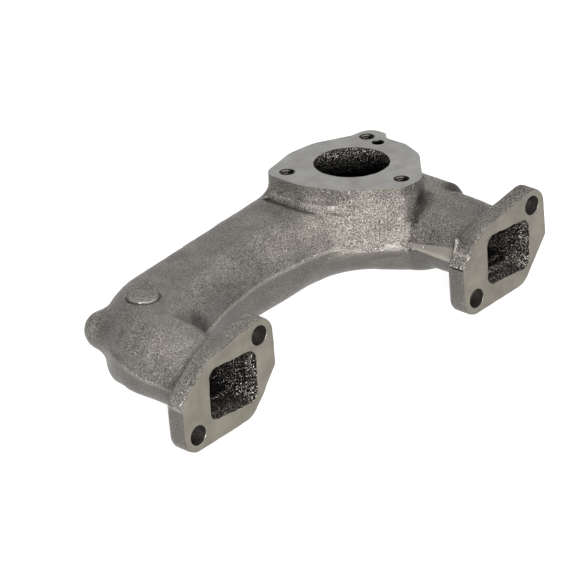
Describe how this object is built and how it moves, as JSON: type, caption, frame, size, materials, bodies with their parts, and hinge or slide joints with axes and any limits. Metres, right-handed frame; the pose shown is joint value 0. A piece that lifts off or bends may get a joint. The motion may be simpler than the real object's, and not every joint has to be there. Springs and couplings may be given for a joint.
{
  "type": "exhaust manifold",
  "caption": "Cast-iron exhaust manifold: two rectangular ports with diagonal stud flanges feed a bent runner and a round flanged outlet on top.",
  "frame": {"origin": "centre of the left port's two stud holes, on the machined port face", "axes": "+X along the row of ports from left to right, -Y out of the port faces towards the cylinder head, +Z out of the outlet"},
  "size_m": [0.2711, 0.129, 0.0615],
  "materials": {
    "cast_iron": "shot-blasted sand-cast surface, unpainted",
    "machined_iron": "milled face on a shot-blasted casting"
  },
  "bodies": {
    "root": {"left_port_flange": "machined_iron", "left_port_pipe": "cast_iron", "left_elbow": "cast_iron", "core_boss": "cast_iron", "date_pad": "cast_iron", "runner_left": "cast_iron", "runner_right": "cast_iron", "outlet_tower": "cast_iron", "outlet_flange": "machined_iron", "outlet_bead": "cast_iron", "right_port_pipe": "cast_iron", "right_port_flange": "machined_iron"}
  },
  "joints": []
}
